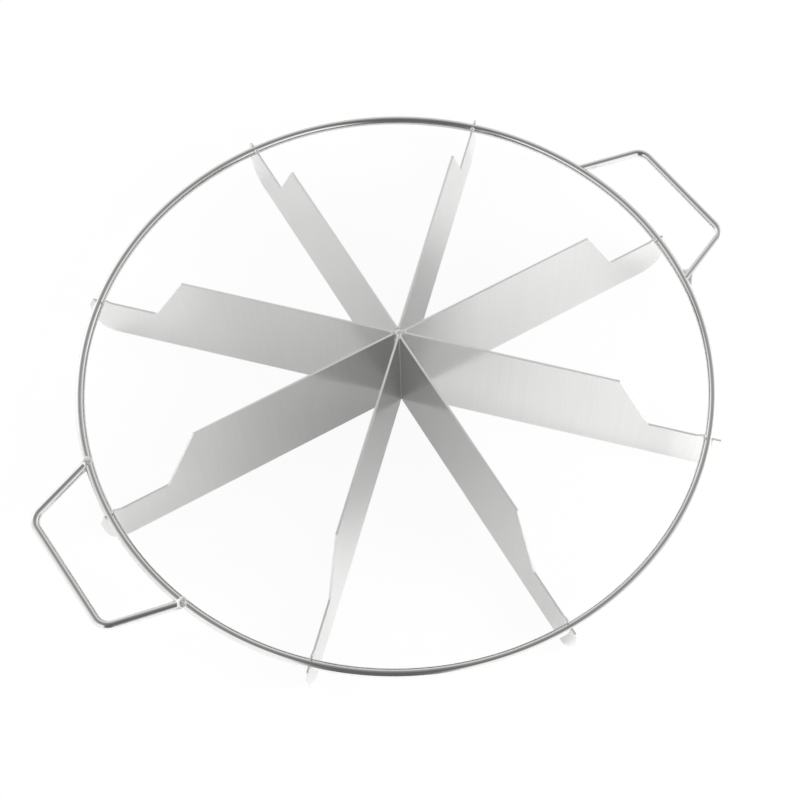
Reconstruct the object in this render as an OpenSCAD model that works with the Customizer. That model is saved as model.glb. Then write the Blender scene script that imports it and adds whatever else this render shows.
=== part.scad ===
// Portion marker for round cakes: four folded sheet strips give eight radial blades,
// a wire ring lies in the notches near their ends, and two wire handles stand off the ring.
// The marker stands on the blades' lower edges, with the handles on the X axis.

/* [Ring] */
// Outside diameter of the ring
ring_d = 280; // [220:1:340]
// Diameter of the ring's wire
ring_wire_d = 4; // [3:0.1:6]
// Depth of the wire's centre below the top edge of the blade arms
ring_sink = 1.6; // [0.6:0.1:1.9]

/* [Handles] */
// Diameter of the handles' wire
handle_wire_d = 3.8; // [3:0.1:5]
// Distance between a handle's two legs where they meet the ring
handle_root_w = 77.5; // [60:0.5:100]
// Distance between the two corners of a handle, before they are rounded
handle_tip_w = 57.5; // [45:0.5:60]
// Distance from the ring's wire to the handle's outer side, centre to centre
handle_reach = 26.5; // [20:0.5:45]
// Radius of the handle's bends, at the wire's centre
handle_bend_r = 6.5; // [4:0.5:12]
// Turn of each handle towards the rear, away from the X axis
handle_back = 0.6; // [0:0.1:2]
// Turn of the blades against the X axis
handle_turn = 5.3; // [0:0.1:12]

/* [Blades] */
// Thickness of the sheet
sheet_t = 1; // [0.6:0.1:1.5]
// Height of a blade at the centre
blade_h = 55; // [35:1:80]
// Height of the lower arm that runs out to the ring
arm_h = 24; // [16:0.5:32]
// Length of the arm from the foot of the step to the ring's wire
arm_l = 27; // [15:0.5:50]
// Length over which the step falls from the top edge to the arm
step_run = 16; // [4:0.5:40]
// Fillet at the foot of the step
step_fillet_r = 1.6; // [0.5:0.1:4]
// Length of a blade's tip past the outside of the ring
tip_out = 3.8; // [3:0.1:10]
// How far the tip's end slants in towards the lower edge
tip_lean = 2; // [0.5:0.1:3]
// Part of the arm's height over which the tip's end slants
tip_lean_part = 0.6; // [0.3:0.05:0.7]
// Radius of the tip's lower corner
tip_round_r = 9; // [4:0.5:12]
// Width of the cut on the tip's upper corner
tip_cut_w = 2.2; // [0.5:0.1:2.5]
// Height of the cut on the tip's upper corner
tip_cut_h = 4.6; // [1:0.1:6]

/* [Ring notch] */
// Play between the ring's wire and its notch
notch_fit = 0.05; // [0:0.01:0.3]
// Rise of the ear beside the notch over the arm's top edge
ear_h = 1.8; // [0.5:0.1:3]
// Length of the ear's slope
ear_w = 3.4; // [1:0.1:6]

/* [Folds] */
// Inside radius of the fold that joins two blades
fold_inner_r = 0.2; // [0.1:0.1:1.5]
// Distance from the marker's axis to the back of each fold
fold_back_r = 1.5; // [0.8:0.1:2.5]

/* [Welds] */
// Radius of the weld where a handle's leg meets the ring, seen from above
handle_weld_r = 2.8; // [2.6:0.1:4]
// Rise of that weld over the ring's wire
handle_weld_rise = 0.25; // [0.15:0.05:1]
// Radius of the bead where an arm meets the ring
arm_weld_r = 1.1; // [0.9:0.1:1.6]
// Height of the bead's centre over the centre of the ring's wire
arm_weld_z = 1.8; // [1.4:0.1:2]
// Part of the sheet's thickness that the weld between the folds covers
core_weld_part = 0.2; // [0.1:0.05:0.9]
// Depth of the weld between the folds, at the top and at the bottom
core_weld_depth = 4; // [2:0.5:10]
// Rise of the upper weld's crown over its rim
core_weld_crown = 0.2; // [0.1:0.05:1]
// Height of the crown's rim over the blades
core_weld_rim = 0.05; // [0.05:0.05:0.5]

/* [Hidden] */
$fn = 96;
STRIPS = ["blade_strip_rear_right", "blade_strip_rear_left", "blade_strip_front_left",
          "blade_strip_front_right"];
ARM_WELDS = ["arm_weld_1", "arm_weld_2", "arm_weld_3", "arm_weld_4",
             "arm_weld_5", "arm_weld_6", "arm_weld_7", "arm_weld_8"];
HANDLES = ["handle_right", "handle_left"];
HANDLE_WELDS = ["handle_weld_right_rear", "handle_weld_right_front",
                "handle_weld_left_rear", "handle_weld_left_front"];

// Segments of the ring, fine enough for the small beads that are cut by it
ring_fn = 720;
// How far cutting shapes reach past the faces that they cut
over = 1;
// Thinning of wire and sheet in a bend, on each side
bend_thin = 0.01;
// Length by which straight wire reaches into a bend, and flat sheet into a fold
wire_lap = 0.1;
sheet_lap = 0.05;

// Ring: radius of the wire's centre, and its height
ring_r = (ring_d - ring_wire_d) / 2;
ring_z = arm_h - ring_sink;

// Blades: each strip holds two, one blade pitch apart
blade_pitch = 360 / len(ARM_WELDS);
half_fold = blade_pitch / 2;
tip_r = ring_d / 2 + tip_out;
notch_r = ring_wire_d / 2 + notch_fit;
ear_top = arm_h + ear_h;
step_foot_r = ring_r - arm_l;
step_top_r = step_foot_r - step_run;
tip_foot_r = tip_r - tip_lean;
tip_lean_h = tip_lean_part * arm_h;

// Folds: the centre of each fold's bend, where its two blades run off, and how far to the side
fold_outer_r = fold_inner_r + sheet_t;
fold_centre = fold_back_r + fold_outer_r;
blade_start = fold_centre * cos(half_fold);
blade_side = fold_inner_r + sheet_t / 2 - fold_centre * sin(half_fold);

// Weld between the folds
core_weld_r = fold_back_r + core_weld_part * sheet_t;

// Handles: a leg's line from the ring to its corner, and the bend between leg and outer side
root_y = handle_root_w / 2;
root_x = sqrt(ring_r * ring_r - root_y * root_y);
corner_x = ring_r + handle_reach;
corner_y = handle_tip_w / 2;
leg_lean = atan2(root_y - corner_y, corner_x - root_x);
bend_turn = 90 - leg_lean;
bend_run = handle_bend_r * tan(bend_turn / 2);
leg_l = norm([corner_x - root_x, root_y - corner_y]) - bend_run;

// The ring's wire, also used to cut what is fitted against it
module ring_wire() {
    translate([0, 0, ring_z])
        rotate_extrude($fn = ring_fn)
            translate([ring_r, 0])
                circle(d = ring_wire_d);
}

module ring() {
    color("silver") ring_wire();
}

// Puts something on the right or the left side, turned a little towards the rear
module on_side(side) {
    mirror([side, 0, 0])
        rotate([0, 0, handle_back])
            children();
}

// Puts something on a leg's line, with its Z axis running out from the ring's centre line
module on_leg() {
    translate([root_x, root_y, ring_z])
        rotate([0, 90, -leg_lean])
            children();
}

// A handle's leg, from the ring's centre line to its bend
module handle_leg() {
    on_leg() cylinder(d = handle_wire_d, h = leg_l + wire_lap);
}

// The bend between a leg and the outer side
module handle_bend() {
    translate([corner_x - handle_bend_r, corner_y - bend_run, ring_z])
        rotate_extrude(angle = bend_turn)
            translate([handle_bend_r, 0])
                circle(d = handle_wire_d - 2 * bend_thin);
}

// A handle, with both ends coped to the ring's outside
module handle(side) {
    color("silver")
        on_side(side) {
            translate([corner_x, 0, ring_z])
                rotate([90, 0, 0])
                    cylinder(d = handle_wire_d, h = 2 * (corner_y - bend_run + wire_lap), center = true);
            for (end = [0, 1])
                mirror([0, end, 0]) {
                    handle_bend();
                    difference() {
                        handle_leg();
                        ring_wire();
                    }
                }
        }
}

// A bead between two shallow domes, one over and one under the ring's wire
module flat_bead() {
    bead_h = ring_wire_d / 2 + handle_weld_rise;
    dome_r = (handle_weld_r * handle_weld_r + bead_h * bead_h) / (2 * bead_h);
    rotate([0, 90, 0])
        rotate_extrude()
            intersection() {
                translate([0, dome_r - bead_h]) circle(r = dome_r);
                translate([0, bead_h - dome_r]) circle(r = dome_r);
                translate([0, -dome_r]) square([dome_r, 2 * dome_r]);
            }
}

// The bead round a handle's leg where it stands on the ring
module handle_weld(side, end) {
    color("gainsboro")
        on_side(side)
            mirror([0, end, 0])
                difference() {
                    on_leg() translate([0, 0, ring_wire_d / 2]) flat_bead();
                    handle_leg();
                    ring_wire();
                }
}

// Side view of a blade, with the radius along X and the height along Y
module blade_outline() {
    difference() {
        union() {
            polygon([[blade_start - sheet_lap, 0], [tip_foot_r, 0], [tip_r, tip_lean_h],
                     [tip_r, arm_h - tip_cut_h], [tip_r - tip_cut_w, arm_h],
                     [ring_r, arm_h], [ring_r, ear_top],
                     [ring_r - notch_r, ear_top], [ring_r - notch_r - ear_w, arm_h],
                     [step_foot_r, arm_h], [step_top_r, blade_h],
                     [blade_start - sheet_lap, blade_h]]);
            step_fillet();
        }
        ring_notch();
        tip_corner();
    }
}

// Round fillet between the slanted step and the arm's top edge
module step_fillet() {
    step_lean = atan2(blade_h - arm_h, step_foot_r - step_top_r);
    fillet_run = step_fillet_r * tan(step_lean / 2);
    difference() {
        polygon([[step_foot_r, arm_h], [step_foot_r + fillet_run, arm_h],
                 [step_foot_r - fillet_run * cos(step_lean), arm_h + fillet_run * sin(step_lean)]]);
        translate([step_foot_r + fillet_run, arm_h + step_fillet_r]) circle(r = step_fillet_r);
    }
}

// Round-bottomed notch for the ring, open at the top
module ring_notch() {
    translate([ring_r, ring_z]) circle(r = notch_r);
    translate([ring_r - notch_r, ring_z]) square([2 * notch_r, ear_top - ring_z + over]);
}

// What is cut off the tip's lower corner to leave it round
module tip_corner() {
    slant = atan2(tip_lean, tip_lean_h);
    round_r = tip_foot_r - tip_round_r * tan((90 - slant) / 2);
    reach = tip_round_r + over;
    difference() {
        polygon([[round_r, tip_round_r], [round_r, -over], [tip_r + over, -over],
                 [round_r + reach * cos(slant), tip_round_r - reach * sin(slant)]]);
        translate([round_r, tip_round_r]) circle(r = tip_round_r);
    }
}

// Turn of the line midway between a strip's two blades
function strip_turn(strip) = (2 * strip + 1) * blade_pitch + half_fold - handle_turn;

// Puts something on a strip's blade, in the frame of the blade's outline
module on_blade(index) {
    rotate([0, 0, strip_turn(floor(index / 2))])
        mirror([0, 1 - index % 2, 0])
            rotate([0, 0, half_fold])
                translate([0, blade_side, 0])
                    rotate([90, 0, 0])
                        children();
}

// One flat blade of a strip
module blade(index) {
    on_blade(index)
        linear_extrude(height = sheet_t, center = true)
            blade_outline();
}

// The bend of a strip, on the side of the marker's axis
module fold_bend(strip) {
    bend_span = 180 - blade_pitch;
    rotate([0, 0, strip_turn(strip)])
        translate([fold_centre, 0, 0])
            rotate([0, 0, 180 - bend_span / 2])
                rotate_extrude(angle = bend_span)
                    translate([fold_inner_r + bend_thin, 0])
                        square([sheet_t - 2 * bend_thin, blade_h]);
}

// A strip of sheet folded upright into two blades
module strip_solid(strip) {
    fold_bend(strip);
    blade(2 * strip);
    blade(2 * strip + 1);
}

module blade_strip(strip) {
    color("lightgray") strip_solid(strip);
}

// A bead in the groove between the ring and the ear of one arm
module arm_weld(index) {
    color("gainsboro")
        difference() {
            on_blade(index)
                translate([ring_r - notch_r, ring_z + arm_weld_z, 0])
                    sphere(r = arm_weld_r);
            ring_wire();
            blade(index);
        }
}

// The four strips, used to cut the welds between their folds
module all_strips() {
    for (strip = [0 : len(STRIPS) - 1]) strip_solid(strip);
}

module centre_weld_top() {
    crown_r = (core_weld_r * core_weld_r + core_weld_crown * core_weld_crown) / (2 * core_weld_crown);
    color("gainsboro")
        difference() {
            intersection() {
                translate([0, 0, blade_h - core_weld_depth])
                    cylinder(r = core_weld_r, h = core_weld_depth + core_weld_rim + core_weld_crown);
                translate([0, 0, blade_h + core_weld_rim + core_weld_crown - crown_r])
                    sphere(r = crown_r);
            }
            all_strips();
        }
}

module centre_weld_bottom() {
    color("gainsboro")
        difference() {
            cylinder(r = core_weld_r, h = core_weld_depth);
            all_strips();
        }
}

ring();
for (side = [0 : len(HANDLES) - 1])
    handle(side);
for (strip = [0 : len(STRIPS) - 1])
    blade_strip(strip);
for (weld = [0 : len(HANDLE_WELDS) - 1])
    handle_weld(floor(weld / 2), weld % 2);
for (weld = [0 : len(ARM_WELDS) - 1])
    arm_weld(weld);
centre_weld_top();
centre_weld_bottom();
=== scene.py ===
import math

import bmesh
import bpy
from mathutils import Matrix, Vector, noise


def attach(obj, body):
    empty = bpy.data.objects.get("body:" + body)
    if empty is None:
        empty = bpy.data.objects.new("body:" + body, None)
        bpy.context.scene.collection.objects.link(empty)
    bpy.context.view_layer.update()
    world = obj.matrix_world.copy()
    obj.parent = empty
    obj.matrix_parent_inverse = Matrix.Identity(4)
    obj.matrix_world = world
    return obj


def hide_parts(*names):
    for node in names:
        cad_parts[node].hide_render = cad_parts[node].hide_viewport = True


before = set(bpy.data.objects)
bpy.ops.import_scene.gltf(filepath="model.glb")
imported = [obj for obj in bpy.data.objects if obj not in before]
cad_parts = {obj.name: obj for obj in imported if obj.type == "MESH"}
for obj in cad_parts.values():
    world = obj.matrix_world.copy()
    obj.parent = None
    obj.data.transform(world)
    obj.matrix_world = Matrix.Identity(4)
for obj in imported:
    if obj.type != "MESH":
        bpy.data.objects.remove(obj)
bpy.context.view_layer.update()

# Blade strips
# Four strips of stainless sheet, each sheared to two stepped blades and folded upright
# into a narrow V. The folds stand back to back round the middle.
mm = 0.001
sheet_t = 1.0 * mm
blade_h = 55.0 * mm
arm_h = 24.0 * mm
ring_r = 138.0 * mm
ring_wire_r = 2.0 * mm
ring_z = 22.4 * mm
# How far each of the eight blades reaches from the axis. They differ a little.
TIPS = [reach * mm for reach in (143.8, 143.8, 143.2, 142.6, 144.6, 144.6, 145.7, 142.7)]
tip_lean = 2.0 * mm
tip_lean_h = 14.4 * mm
tip_round = 9.0 * mm
tip_cut_w = 2.2 * mm
tip_cut_h = 4.6 * mm
notch_lip = math.radians(40)
ear_h = 1.8 * mm
ear_w = 3.4 * mm
step_foot_r = 111.0 * mm
step_top_r = 95.0 * mm
step_fillet_r = 1.6 * mm
fold_inner_r = 0.08 * mm
fold_back_r = 1.5 * mm
# Corners sharper than bevel_from get the small round of a sheared edge. Faces that meet at more
# than flat_to keep a crisp line between them, or the wide faces would look swollen.
sheared_edge = 0.12 * mm
bevel_from = math.radians(50)
flat_to = math.radians(20)
weld_dist = 0.005 * mm
fold_steps = 10
blade_pitch = math.radians(45)
half_fold = blade_pitch / 2
blade_turn = math.radians(5.3)
fold_centre = fold_back_r + fold_inner_r + sheet_t
blade_start = fold_centre * math.cos(half_fold)
blade_side = fold_inner_r + sheet_t / 2 - fold_centre * math.sin(half_fold)
STRIPS = ["rear_right", "rear_left", "front_left", "front_right"]


def arc(centre_x, centre_z, radius, start, end, steps):
    """Points of a round stretch of an outline, between two angles."""
    angles = [start + (end - start) * i / steps for i in range(steps + 1)]
    return [(centre_x + radius * math.cos(a), centre_z + radius * math.sin(a)) for a in angles]


def blade_outline(tip_r):
    """Side view of a blade: from the fold along its lower edge, round the tip and back over the step."""
    down = -math.pi / 2
    slant = math.atan2(tip_lean, tip_lean_h)
    tip_corner = tip_r - tip_lean - tip_round * math.tan((math.pi / 2 - slant) / 2)
    step_lean = math.atan2(blade_h - arm_h, step_foot_r - step_top_r)
    fillet_centre = step_foot_r + step_fillet_r * math.tan(step_lean / 2)
    points = [(blade_start, 0.0)]
    points += arc(tip_corner, tip_round, tip_round, down, -slant, steps=14)
    points += [(tip_r, tip_lean_h), (tip_r, arm_h - tip_cut_h), (tip_r - tip_cut_w, arm_h)]
    points += [(ring_r + ring_wire_r * math.cos(notch_lip), arm_h)]
    points += arc(ring_r, ring_z, ring_wire_r, notch_lip, 2 * down, steps=20)
    points += [(ring_r - ring_wire_r, arm_h + ear_h), (ring_r - ring_wire_r - ear_w, arm_h)]
    points += arc(fillet_centre, arm_h + step_fillet_r, step_fillet_r, down, down - step_lean, steps=6)
    points += [(step_top_r, blade_h), (blade_start, blade_h)]
    return points


def new_part(grown, kind):
    """What an extrusion added, of one kind: vertices or edges."""
    return [item for item in grown if isinstance(item, kind)]


def finish_mesh(bm, name, sharp=math.radians(30)):
    """Closes a bmesh into an object with smooth faces and sharp corners."""
    mesh = bpy.data.meshes.new(name)
    bm.to_mesh(mesh)
    bm.free()
    mesh.shade_smooth()
    mesh.set_sharp_from_angle(angle=sharp)
    piece = bpy.data.objects.new(name, mesh)
    bpy.context.collection.objects.link(piece)
    return piece


def folded_strip(name, turn, tips):
    """Two halves, each a blade and half the fold, joined to a strip and turned into place."""
    whole = bmesh.new()
    for side, tip_r in zip((-1, 1), tips):
        bm = bmesh.new()
        outline = bm.faces.new([bm.verts.new((r, -sheet_t / 2, z)) for r, z in blade_outline(tip_r)])
        grown = bmesh.ops.extrude_face_region(bm, geom=[outline])["geom"]
        bmesh.ops.translate(bm, vec=(0, sheet_t, 0), verts=new_part(grown, bmesh.types.BMVert))
        ends = [f for f in bm.faces if all(abs(v.co.x - blade_start) < weld_dist for v in f.verts)]
        bmesh.ops.delete(bm, geom=ends, context="FACES_ONLY")
        for face in bm.faces:
            face.normal_update()
            is_sheared = abs(face.normal.y) < 0.5
            face.material_index = int(is_sheared)
        place = Matrix.Rotation(half_fold, 4, "Z") @ Matrix.Translation((0, blade_side, 0))
        bmesh.ops.transform(bm, matrix=place, verts=bm.verts)
        corners = [(fold_centre - fold_inner_r, z) for z in (0, blade_h)]
        corners += [(fold_centre - fold_inner_r - sheet_t, z) for z in (blade_h, 0)]
        section = [bm.verts.new((x, 0, z)) for x, z in corners]
        rim = [bm.edges.new((section[i], section[(i + 1) % 4])) for i in range(4)]
        bmesh.ops.spin(bm, geom=section + rim, cent=(fold_centre, 0, 0), axis=(0, 0, 1),
                       angle=-(math.pi / 2 - half_fold), steps=fold_steps)
        bmesh.ops.scale(bm, vec=(1, side, 1), verts=bm.verts)
        half = bpy.data.meshes.new(name)
        bm.to_mesh(half)
        bm.free()
        whole.from_mesh(half)
        bpy.data.meshes.remove(half)
    bmesh.ops.remove_doubles(whole, verts=whole.verts, dist=weld_dist)
    bmesh.ops.recalc_face_normals(whole, faces=whole.faces)
    sheared = [e for e in whole.edges if e.is_manifold and e.calc_face_angle() > bevel_from]
    bmesh.ops.bevel(whole, geom=sheared, offset=sheared_edge, affect="EDGES", segments=2, profile=0.5,
                    material=-1, clamp_overlap=False)
    bmesh.ops.rotate(whole, cent=(0, 0, 0), matrix=Matrix.Rotation(turn, 3, "Z"), verts=whole.verts)
    return finish_mesh(whole, name, sharp=flat_to)


def linear(hex_code):
    """An sRGB hex colour as the linear RGBA that a shader takes."""
    shares = [int(hex_code[i:i + 2], 16) / 255 for i in (1, 3, 5)]
    return [s / 12.92 if s <= 0.04045 else ((s + 0.055) / 1.055) ** 2.4 for s in shares] + [1.0]


def add_node(tree, kind, settings=None, inputs=None):
    """Adds a node; an input is a plain value or another node's output socket."""
    node = tree.nodes.new(kind)
    for name, value in (settings or {}).items():
        setattr(node, name, value)
    for name, value in (inputs or {}).items():
        if isinstance(value, bpy.types.NodeSocket):
            tree.links.new(value, node.inputs[name])
        else:
            node.inputs[name].default_value = value
    return node


def new_material(name):
    """An empty node material, and its node tree."""
    material = bpy.data.materials.new(name)
    material.use_nodes = True
    material.node_tree.nodes.clear()
    return material, material.node_tree


# Stainless sheet with a satin finish, brushed along the height of the blades, so that reflections
# are drawn out along each blade. The brush lines are coarser than the real ones, which are too fine
# to show.
brush_pitch = 0.9 * mm
brush_length = 60.0 * mm
brush_depth = 0.05 * mm
sheet_steel, tree = new_material("satin_stainless_sheet")
place = add_node(tree, "ShaderNodeTexCoord")
brush_space = add_node(tree, "ShaderNodeMapping", inputs={
    "Vector": place.outputs["Object"],
    "Scale": (1 / brush_pitch, 1 / brush_pitch, 1 / brush_length)})
brushing = add_node(tree, "ShaderNodeTexNoise", inputs={
    "Vector": brush_space.outputs["Vector"], "Scale": 1.0, "Detail": 3.0, "Roughness": 0.6})
tone = add_node(tree, "ShaderNodeMix", {"data_type": "RGBA"}, {
    "Factor": brushing.outputs["Fac"], "A": linear("#d4d4d3"), "B": linear("#dededd")})
rough = add_node(tree, "ShaderNodeMapRange", inputs={
    "Value": brushing.outputs["Fac"], "To Min": 0.15, "To Max": 0.2})
along = add_node(tree, "ShaderNodeMapping", inputs={
    "Vector": place.outputs["Object"], "Scale": (1, 1, 0)})
bump = add_node(tree, "ShaderNodeBump", inputs={
    "Height": brushing.outputs["Fac"], "Strength": 0.03, "Distance": brush_depth})
steel = add_node(tree, "ShaderNodeBsdfPrincipled", inputs={
    "Base Color": tone.outputs["Result"], "Metallic": 1.0, "Roughness": rough.outputs["Result"],
    "Anisotropic": 0.85, "Tangent": along.outputs["Vector"], "Normal": bump.outputs["Normal"]})
add_node(tree, "ShaderNodeOutputMaterial", inputs={"Surface": steel.outputs["BSDF"]})

# The sheared edges are left as cut and rougher than the faces. Their lighter tone is painted light, for
# the shine that the narrow edges catch.
burr_length = 1.2 * mm
burr_depth = 0.1 * mm
edge_steel_painted_light, tree = new_material("sheared_edge_painted_light")
place = add_node(tree, "ShaderNodeTexCoord")
burr = add_node(tree, "ShaderNodeTexNoise", inputs={
    "Vector": place.outputs["Object"], "Scale": 1 / burr_length, "Detail": 2.0, "Roughness": 0.6})
# Both tones are lighter than the sheet's: a painted highlight on the edges, varied by the burr.
tone = add_node(tree, "ShaderNodeMix", {"data_type": "RGBA"}, {
    "Factor": burr.outputs["Fac"], "A": linear("#e6e6e5"), "B": linear("#f4f4f3")})
bump = add_node(tree, "ShaderNodeBump", inputs={
    "Height": burr.outputs["Fac"], "Strength": 0.2, "Distance": burr_depth})
steel = add_node(tree, "ShaderNodeBsdfPrincipled", inputs={
    "Base Color": tone.outputs["Result"], "Metallic": 1.0, "Roughness": 0.6,
    "Normal": bump.outputs["Normal"]})
add_node(tree, "ShaderNodeOutputMaterial", inputs={"Surface": steel.outputs["BSDF"]})

for index, where in enumerate(STRIPS):
    turn = (2 * index + 1) * blade_pitch + half_fold - blade_turn
    strip = folded_strip("blade_sheet_" + where, turn, TIPS[2 * index:2 * index + 2])
    strip.data.materials.append(sheet_steel)
    strip.data.materials.append(edge_steel_painted_light)
    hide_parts("blade_strip_" + where)
    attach(strip, "root")

# Ring
# One length of polished stainless wire, rolled round and butt welded. It lies in the notches of
# the arms.
ring_steps = 720
wire_sides = 32

# Bright drawn wire: its tone and gloss vary in faint patches a few millimetres wide, which break up
# the reflections a little.
patch_width = 4.2 * mm
wire_steel, tree = new_material("polished_stainless_wire")
place = add_node(tree, "ShaderNodeTexCoord")
drawing = add_node(tree, "ShaderNodeTexNoise", inputs={
    "Vector": place.outputs["Object"], "Scale": 1 / patch_width, "Detail": 4.0, "Roughness": 0.6})
tone = add_node(tree, "ShaderNodeMix", {"data_type": "RGBA"}, {
    "Factor": drawing.outputs["Fac"], "A": linear("#d5d5d4"), "B": linear("#dfdfde")})
rough = add_node(tree, "ShaderNodeMapRange", inputs={
    "Value": drawing.outputs["Fac"], "To Min": 0.08, "To Max": 0.16})
steel = add_node(tree, "ShaderNodeBsdfPrincipled", inputs={
    "Base Color": tone.outputs["Result"], "Metallic": 1.0, "Roughness": rough.outputs["Result"]})
add_node(tree, "ShaderNodeOutputMaterial", inputs={"Surface": steel.outputs["BSDF"]})


def wire_section(bm, at_x, radius):
    """A round cross-section of a wire that runs along Y, at the height of the ring."""
    upright = Matrix.Translation((at_x, 0, ring_z)) @ Matrix.Rotation(math.pi / 2, 4, "X")
    bmesh.ops.create_circle(bm, segments=wire_sides, radius=radius, matrix=upright)


bm = bmesh.new()
wire_section(bm, ring_r, ring_wire_r)
bmesh.ops.spin(bm, geom=bm.verts[:] + bm.edges[:], cent=(0, 0, 0), axis=(0, 0, 1),
               angle=2 * math.pi, steps=ring_steps, use_merge=True)
bmesh.ops.recalc_face_normals(bm, faces=bm.faces)
ring = finish_mesh(bm, "ring_wire")
ring.data.materials.append(wire_steel)
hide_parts("ring")
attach(ring, "root")

# Handles
# A shorter length of the same wire on each side, bent at two corners. Its ends run into the ring and are
# welded to the ring's outside, a little towards the rear.
handle_wire_r = 1.9 * mm
handle_root_w = 77.5 * mm
handle_tip_w = 57.5 * mm
handle_reach = 26.5 * mm
handle_bend_r = 6.5 * mm
handle_back = math.radians(0.6)
bend_steps = 14
root_y = handle_root_w / 2
root_x = math.sqrt(ring_r ** 2 - root_y ** 2)
corner_x = ring_r + handle_reach
corner_y = handle_tip_w / 2
leg_lean = math.atan2(root_y - corner_y, corner_x - root_x)
bend_turn = math.pi / 2 - leg_lean
bend_run = handle_bend_r * math.tan(bend_turn / 2)
leg_length = math.hypot(corner_x - root_x, root_y - corner_y) - bend_run
leg_out = Vector((math.cos(leg_lean), -math.sin(leg_lean), 0))


def drawn_on(bm, rim, reach):
    """Carries an open tube on from its last rim, and gives the new rim."""
    grown = bmesh.ops.extrude_edge_only(bm, edges=rim)["geom"]
    bmesh.ops.translate(bm, vec=reach, verts=new_part(grown, bmesh.types.BMVert))
    return new_part(grown, bmesh.types.BMEdge)


def set_on_side(bm, side, end):
    """Moves what was made at the right rear to its own side and end of the marker."""
    turned = Matrix.Rotation(handle_back * end, 3, "Z")
    bmesh.ops.rotate(bm, cent=(0, 0, 0), matrix=turned, verts=bm.verts)
    bmesh.ops.scale(bm, vec=(side, end, 1), verts=bm.verts)
    bmesh.ops.recalc_face_normals(bm, faces=bm.faces)


for name, side in [("right", 1), ("left", -1)]:
    bm = bmesh.new()
    wire_section(bm, corner_x, handle_wire_r)
    rim = drawn_on(bm, bm.edges[:], (0, corner_y - bend_run, 0))
    bend = bmesh.ops.spin(bm, geom=list({v for e in rim for v in e.verts}) + rim,
                          cent=(corner_x - handle_bend_r, corner_y - bend_run, 0), axis=(0, 0, 1),
                          angle=bend_turn, steps=bend_steps)["geom_last"]
    rim = drawn_on(bm, new_part(bend, bmesh.types.BMEdge), -leg_length * leg_out)
    bmesh.ops.edgeloop_fill(bm, edges=rim)
    bmesh.ops.mirror(bm, geom=bm.verts[:] + bm.edges[:] + bm.faces[:], matrix=Matrix(),
                     merge_dist=weld_dist, axis="Y")
    set_on_side(bm, side, 1)
    handle = finish_mesh(bm, "handle_wire_" + name)
    handle.data.materials.append(wire_steel)
    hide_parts("handle_" + name)
    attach(handle, "root")

# Handle welds
# Weld metal runs out in a fillet from each handle's leg onto the ring. The one at the right front
# is a broad web. The two on the left also have a low bead over the ring.
fillet_length = 5.5 * mm
fillet_sink = 0.8 * mm
fillet_end = 1.6 * mm
fillet_sections = 12
fillet_inset = 0.01 * mm
bead_grain = 1.6 * mm
bead_radii = (2.4 * mm, 2.8 * mm, 1.6 * mm)
bead_out = 0.6 * mm
bead_rise = 1.1 * mm
# Where each weld is, its side and end of the marker, how far it spreads along the ring, and how
# uneven its bead is. Without a bead that is 0.
HANDLE_WELDS = [("right_rear", 1, 1, 1.2 * mm, 0.0), ("right_front", 1, -1, 5.0 * mm, 0.0),
                ("left_rear", -1, 1, 1.2 * mm, 0.16), ("left_front", -1, -1, 1.2 * mm, 0.224)]

# Stainless weld metal: bright and smooth, with the shallow ripples that it froze in.
ripple = 0.5 * mm
ripple_depth = 0.1 * mm
weld_steel, tree = new_material("stainless_weld_metal")
place = add_node(tree, "ShaderNodeTexCoord")
ripples = add_node(tree, "ShaderNodeTexNoise", inputs={
    "Vector": place.outputs["Object"], "Scale": 1 / ripple, "Detail": 2.0, "Roughness": 0.5})
tone = add_node(tree, "ShaderNodeMix", {"data_type": "RGBA"}, {
    "Factor": ripples.outputs["Fac"], "A": linear("#dcdcdb"), "B": linear("#efefee")})
rough = add_node(tree, "ShaderNodeMapRange", inputs={
    "Value": ripples.outputs["Fac"], "To Min": 0.3, "To Max": 0.45})
bump = add_node(tree, "ShaderNodeBump", inputs={
    "Height": ripples.outputs["Fac"], "Strength": 0.3, "Distance": ripple_depth})
steel = add_node(tree, "ShaderNodeBsdfPrincipled", inputs={
    "Base Color": tone.outputs["Result"], "Metallic": 1.0, "Roughness": rough.outputs["Result"],
    "Normal": bump.outputs["Normal"]})
add_node(tree, "ShaderNodeOutputMaterial", inputs={"Surface": steel.outputs["BSDF"]})


def add_bead(bm, place, radii, turn=0.0, lumps=0.12):
    """Adds a rounded lump of weld metal with a slightly uneven skin."""
    matrix = Matrix.Translation(place) @ Matrix.Rotation(turn, 4, "Z") \
        @ Matrix.Diagonal((*radii, 1))
    bead = bmesh.ops.create_icosphere(bm, subdivisions=4, radius=1.0, matrix=matrix)["verts"]
    for vert in bead:
        swell = 1 + lumps * noise.noise(vert.co / bead_grain)
        vert.co = Vector(place) + (vert.co - Vector(place)) * swell


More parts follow.
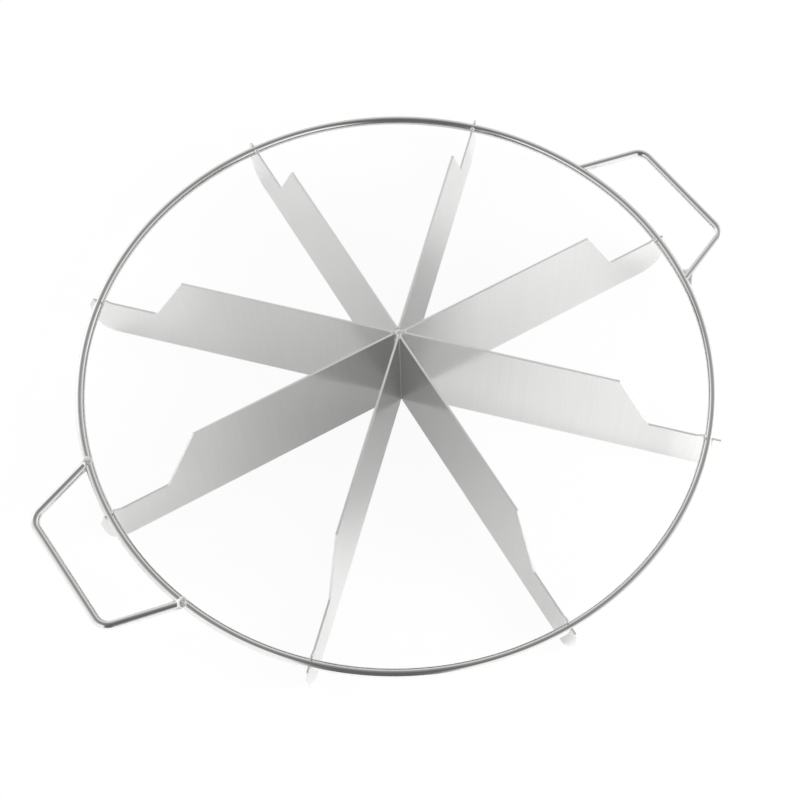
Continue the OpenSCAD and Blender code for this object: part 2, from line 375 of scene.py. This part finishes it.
# A leg meets the ring at its root, and leg_turn is its angle to the ring's radius there.
root = Vector((root_x, root_y, ring_z))
leg_turn = math.asin(root_y / ring_r) + leg_lean
for name, side, end, spread, lumps in HANDLE_WELDS:
    bm = bmesh.new()
    loops = []
    for i in range(fillet_sections + 1):
        near = i / fillet_sections
        half_w = handle_wire_r + spread * near ** 2 - fillet_inset
        half_h = handle_wire_r - fillet_sink * near - fillet_inset
        centre = root + leg_out * (fillet_length * (1 - near) + fillet_end)
        heading = math.pi / 2 - leg_lean + leg_turn * near
        section = Matrix.Translation(centre) @ Matrix.Rotation(heading, 4, "Z") \
            @ Matrix.Rotation(math.pi / 2, 4, "X") @ Matrix.Diagonal((half_w, half_h, 1, 1))
        verts = bmesh.ops.create_circle(bm, segments=wire_sides, radius=1.0, matrix=section)["verts"]
        loops.append([e for e in bm.edges if e.verts[0] in verts and e.verts[1] in verts])
    for this, following in zip(loops, loops[1:]):
        bmesh.ops.bridge_loops(bm, edges=this + following)
    bmesh.ops.edgeloop_fill(bm, edges=loops[0])
    bmesh.ops.edgeloop_fill(bm, edges=loops[-1])
    if lumps:
        add_bead(bm, root + leg_out * bead_out + Vector((0, 0, bead_rise)), bead_radii, lumps=lumps)
    set_on_side(bm, side, end)
    fillet = finish_mesh(bm, "handle_fillet_" + name)
    fillet.data.materials.append(weld_steel)
    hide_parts("handle_weld_" + name)
    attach(fillet, "root")

# Arm welds
# A spot of weld metal in the groove between the ring and each arm's ear, a little wider than it
# is high.
spot_rise = 1.8 * mm
spot_r = 0.95 * mm
spot_radii = (spot_r, 1.05 * spot_r, 0.9 * spot_r)
for arm in range(len(TIPS)):
    turn = blade_pitch * (arm + 1) - blade_turn
    across = blade_side if arm % 2 else -blade_side
    bm = bmesh.new()
    add_bead(bm, (ring_r - ring_wire_r, across, ring_z + spot_rise), spot_radii)
    bmesh.ops.rotate(bm, cent=(0, 0, 0), matrix=Matrix.Rotation(turn, 3, "Z"), verts=bm.verts)
    spot = finish_mesh(bm, "arm_spot_weld_%d" % (arm + 1))
    spot.data.materials.append(weld_steel)
    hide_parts("arm_weld_%d" % (arm + 1))
    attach(spot, "root")

# Centre weld
# The four folds are joined at the top by a small puddle of weld metal that sank between them and
# ran a little way along their edges. A plug at the bottom ends flush with the blades.
puddle_r = 1.7 * mm
puddle_depth = 4.0 * mm
crown_radii = (1.5 * mm, 1.5 * mm, 0.45 * mm)
crest_reach = 2.0 * mm
crest_radii = (1.1 * mm, 0.75 * mm, 0.4 * mm)
puddle_lumps = 0.4
bm = bmesh.new()
bmesh.ops.create_cone(bm, cap_ends=True, segments=48, radius1=puddle_r, radius2=puddle_r,
                      depth=puddle_depth, matrix=Matrix.Translation((0, 0, blade_h - puddle_depth / 2)))
add_bead(bm, (0, 0, blade_h), crown_radii, lumps=puddle_lumps)
for index in range(len(STRIPS)):
    turn = (2 * index + 1) * blade_pitch + half_fold - blade_turn
    crest = (crest_reach * math.cos(turn), crest_reach * math.sin(turn), blade_h)
    add_bead(bm, crest, crest_radii, turn, puddle_lumps)
bmesh.ops.recalc_face_normals(bm, faces=bm.faces)
puddle = finish_mesh(bm, "centre_puddle")
puddle.data.materials.append(weld_steel)
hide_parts("centre_weld_top")
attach(puddle, "root")
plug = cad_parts["centre_weld_bottom"]
plug.data.materials.clear()
plug.data.materials.append(weld_steel)

# Floor
# One wide sheet of white paper. The camera sees it nearly white, with the marker's soft shadow left
# in it, and the metal mirrors it as lit paper, a little lifted.
floor_size = 6.0
seen_white = 0.94
mirrored_white = 0.21
floor_paint, tree = new_material("white_paper_floor")
path = add_node(tree, "ShaderNodeLightPath")
seen = add_node(tree, "ShaderNodeMath", {"operation": "MAXIMUM"}, {
    0: path.outputs["Is Camera Ray"], 1: path.outputs["Is Transmission Ray"]})
share = add_node(tree, "ShaderNodeMath", {"operation": "MULTIPLY"}, {
    0: seen.outputs["Value"], 1: seen_white})
paper = add_node(tree, "ShaderNodeBsdfDiffuse", inputs={"Color": linear("#f6f6f6")})
mirrored = add_node(tree, "ShaderNodeMath", {"operation": "MULTIPLY"}, {
    0: path.outputs["Is Glossy Ray"], 1: mirrored_white})
lift = add_node(tree, "ShaderNodeEmission", inputs={
    "Color": linear("#ffffff"), "Strength": mirrored.outputs["Value"]})
lit = add_node(tree, "ShaderNodeAddShader", inputs={
    0: paper.outputs["BSDF"], 1: lift.outputs["Emission"]})
glow = add_node(tree, "ShaderNodeEmission", inputs={"Color": linear("#ffffff"), "Strength": 1.0})
mixed = add_node(tree, "ShaderNodeMixShader", inputs={
    0: share.outputs["Value"], 1: lit.outputs["Shader"], 2: glow.outputs["Emission"]})
add_node(tree, "ShaderNodeOutputMaterial", inputs={"Surface": mixed.outputs["Shader"]})
bm = bmesh.new()
bmesh.ops.create_grid(bm, x_segments=1, y_segments=1, size=floor_size / 2)
floor = finish_mesh(bm, "floor")
floor.data.materials.append(floor_paint)

# Studio light
# A pale room with a tall window on each side of the camera and a dark gap between them, where the
# camera stands. Four soft lamps light the floor, which the blades mirror.
lamp_distance = 0.7
lamp_width = 0.3
# Each lamp's azimuth and elevation in degrees, its height in metres and its power in watts.
LAMPS = [("right_softbox", 304, 30, 0.5, 3.7), ("front_softbox", 252, 40, 0.3, 0.6),
         ("rear_left_softbox", 120, 18, 0.3, 1.2), ("left_softbox", 150, 55, 0.3, 0.4)]


def towards(azimuth, elevation):
    """The direction from the marker at an azimuth and elevation in degrees."""
    a, e = math.radians(azimuth), math.radians(elevation)
    return Vector((math.cos(e) * math.cos(a), math.cos(e) * math.sin(a), math.sin(e)))


for name, azimuth, elevation, lamp_height, watts in LAMPS:
    lamp = bpy.data.lights.new(name, "AREA")
    lamp.shape = "RECTANGLE"
    lamp.size = lamp_width
    lamp.size_y = lamp_height
    lamp.energy = watts
    holder = bpy.data.objects.new(name, lamp)
    bpy.context.collection.objects.link(holder)
    holder.location = lamp_distance * towards(azimuth, elevation)
    holder.rotation_euler = (-holder.location).to_track_quat("-Z", "Y").to_euler()
    holder.visible_glossy = False

gap_azimuth = math.radians(228)
world = bpy.data.worlds.new("soft_studio")
bpy.context.scene.world = world
world.use_nodes = True
tree = world.node_tree
tree.nodes.clear()
sky = add_node(tree, "ShaderNodeTexCoord")
turned = add_node(tree, "ShaderNodeMapping", inputs={
    "Vector": sky.outputs["Generated"], "Rotation": (0, 0, -gap_azimuth)})
way = add_node(tree, "ShaderNodeSeparateXYZ", inputs={"Vector": turned.outputs["Vector"]})


def joined(operation, first, second):
    """Two values put together."""
    values = {0: first, 1: second}
    return add_node(tree, "ShaderNodeMath", {"operation": operation}, values).outputs["Value"]


def ramp(value, start, end, low, high):
    """A level of the room that goes from low to high between two places."""
    limits = {"Value": value, "From Min": start, "From Max": end, "To Min": low, "To Max": high}
    return add_node(tree, "ShaderNodeMapRange", inputs=limits).outputs["Result"]


# How far a place of the room lies to either side of the camera, from 0 to 1, and its angle over the
# marker: 0 is level on the camera's side, 90 degrees is overhead and 180 is level at the back.
aside = add_node(tree, "ShaderNodeMath", {"operation": "ABSOLUTE"}, {0: way.outputs["Y"]})
aside = aside.outputs["Value"]
over = joined("ARCTAN2", way.outputs["Z"], way.outputs["X"])
walls = ramp(aside, start=0.4, end=0.88, low=0.34, high=1.05)
back_wall = ramp(over, start=math.radians(116), end=math.radians(138), low=0.0, high=0.55)
room = joined("ADD", walls, back_wall)
window_tops = ramp(over, start=math.radians(52), end=math.radians(74), low=1.25, high=0.0)
windows = joined("MULTIPLY", window_tops, ramp(aside, start=0.2, end=0.36, low=0.0, high=1.0))
gap_top = ramp(over, start=math.radians(80), end=math.radians(105), low=0.5, high=0.0)
gap = joined("MULTIPLY", gap_top, ramp(aside, start=0.17, end=0.33, low=1.0, high=0.0))
level = joined("MULTIPLY", joined("MAXIMUM", room, windows), joined("SUBTRACT", 1.0, gap))
dome = add_node(tree, "ShaderNodeBackground", inputs={"Color": linear("#ffffff"), "Strength": level})
white = add_node(tree, "ShaderNodeBackground", inputs={"Color": linear("#ffffff"), "Strength": 1.0})
path = add_node(tree, "ShaderNodeLightPath")
seen = add_node(tree, "ShaderNodeMath", {"operation": "MAXIMUM"}, {
    0: path.outputs["Is Camera Ray"], 1: path.outputs["Is Transmission Ray"]})
mixed = add_node(tree, "ShaderNodeMixShader", inputs={
    0: seen.outputs["Value"], 1: dome.outputs["Background"], 2: white.outputs["Background"]})
add_node(tree, "ShaderNodeOutputWorld", inputs={"Surface": mixed.outputs["Shader"]})

# Camera
# The photo's view, from above at 63 degrees and turned to the left of the front. Its focal length
# and middle are in the photo's pixels.
picture = 800
focal_px = 1458.9
centre_px = (500.0, 433.1)
azimuth = math.radians(-132.02)
elevation = math.radians(63.01)
roll = math.radians(5.57)
distance = 0.6547
target = Vector((0.02466, -0.04211, 0))
back = Vector((math.cos(elevation) * math.cos(azimuth),
               math.cos(elevation) * math.sin(azimuth), math.sin(elevation)))
level_right = Vector((-math.sin(azimuth), math.cos(azimuth), 0))
level_up = back.cross(level_right)
right = math.cos(roll) * level_right + math.sin(roll) * level_up
up = math.cos(roll) * level_up - math.sin(roll) * level_right
lens = bpy.data.cameras.new("camera")
camera = bpy.data.objects.new("camera", lens)
bpy.context.collection.objects.link(camera)
facing = Matrix((right, up, back)).transposed().to_4x4()
camera.matrix_world = Matrix.Translation(target + back * distance) @ facing
lens.sensor_width = 36
lens.lens = focal_px / picture * lens.sensor_width
lens.shift_x = -(centre_px[0] - picture / 2) / picture
lens.shift_y = (centre_px[1] - picture / 2) / picture
bpy.context.scene.camera = camera
bpy.context.scene.view_settings.view_transform = "Standard"
